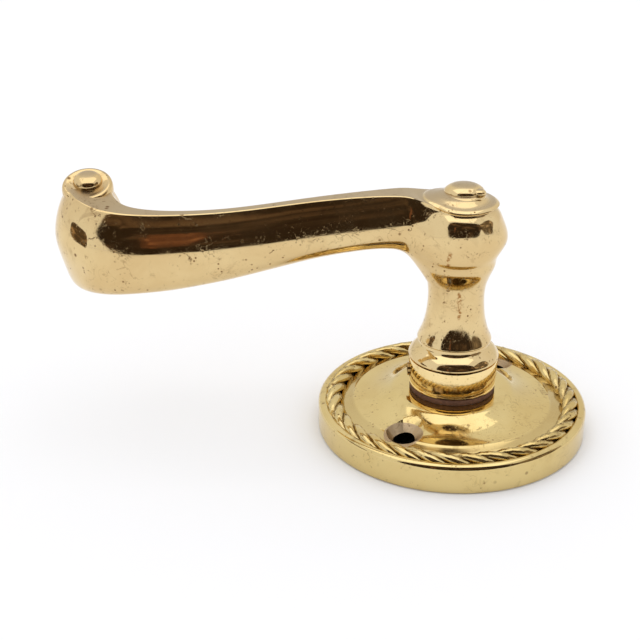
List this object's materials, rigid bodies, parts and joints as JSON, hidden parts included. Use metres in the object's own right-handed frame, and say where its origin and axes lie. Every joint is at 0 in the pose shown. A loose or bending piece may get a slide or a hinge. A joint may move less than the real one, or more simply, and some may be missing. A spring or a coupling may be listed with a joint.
{
  "type": "door lever handle",
  "caption": "Polished brass scroll lever on a round rope-edged rose, with a socketed shank, collar and sprung return.",
  "frame": {"origin": "on the spindle axis, in the plane of the rose's back face (the door's face)", "axes": "+Z along the spindle axis away from the door; the lever points along -X at rest"},
  "size_m": [0.114, 0.058, 0.0555],
  "materials": {
    "polished_brass": "polished, lightly worn",
    "dark_brass": "tarnished",
    "brown_fibre": "vulcanised fibre",
    "white_nylon": "moulded nylon",
    "zinc_steel": "zinc plated",
    "spring_steel": "oiled spring steel",
    "black_steel": "phosphated"
  },
  "bodies": {
    "rose": {"rose_shell": "polished_brass", "bearing_bush": "white_nylon", "fibre_washer": "brown_fibre", "thrust_washer": "zinc_steel", "backing_plate": "zinc_steel", "backing_plate_screw_1": "zinc_steel", "backing_plate_screw_2": "zinc_steel", "backing_plate_screw_3": "zinc_steel", "spring_anchor_post": "zinc_steel", "stop_pin_rest": "zinc_steel", "stop_pin_full": "zinc_steel", "return_spring": "spring_steel"},
    "lever": {"lever_casting": "polished_brass", "shank_collar": "polished_brass", "collar_grub_screw": "dark_brass", "drive_plate": "zinc_steel", "wave_washer": "spring_steel", "retaining_washer": "zinc_steel", "circlip": "black_steel"}
  },
  "joints": [
    {"name": "lever_turn", "type": "hinge", "parent": "rose", "child": "lever", "pos_m": [0, 0, 0.01], "axis": [0, 0, -1], "range_deg": [0, 40], "stiffness_Nm_per_rad": 1, "deforming": ["return_spring"]}
  ]
}
